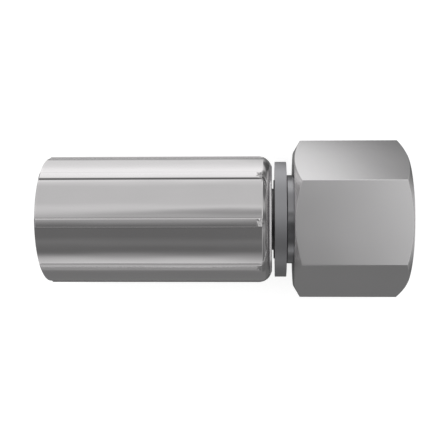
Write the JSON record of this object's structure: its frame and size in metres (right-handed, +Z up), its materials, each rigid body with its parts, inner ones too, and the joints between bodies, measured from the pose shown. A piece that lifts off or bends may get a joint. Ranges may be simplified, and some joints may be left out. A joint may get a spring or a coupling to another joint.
{
  "type": "crimp hose fitting",
  "caption": "Crimped steel hose end: a pressed shell over a barbed nipple with a collar disc, and a hexagon swivel nut that turns freely on the neck.",
  "frame": {"origin": "on the axis, where the thread begins, 1.25 mm inside the open face of the swivel nut", "axes": "+X along the axis, out of the nut's mouth; +Z up, square to the flat of the nut that lies uppermost; the nut's corners point along +Y and -Y"},
  "size_m": [0.0701, 0.0312, 0.027],
  "materials": {
    "shell_steel": "bright polished plating, with faint lengthwise drawing marks",
    "nipple_steel": "turned and plated, satin",
    "nut_steel": "satin plated",
    "ring_steel": "drawn spring wire",
    "seal_rubber": "matte black"
  },
  "bodies": {
    "hose_end": {"crimp_shell": "shell_steel", "nipple": "nipple_steel", "retaining_ring": "ring_steel", "cone_o_ring": "seal_rubber"},
    "nut": {"swivel_nut": "nut_steel"}
  },
  "joints": [
    {"name": "nut_swivel", "type": "hinge", "parent": "hose_end", "child": "nut", "pos_m": [-0.01815, 0, 0], "axis": [1, 0, 0], "continuous": true}
  ]
}
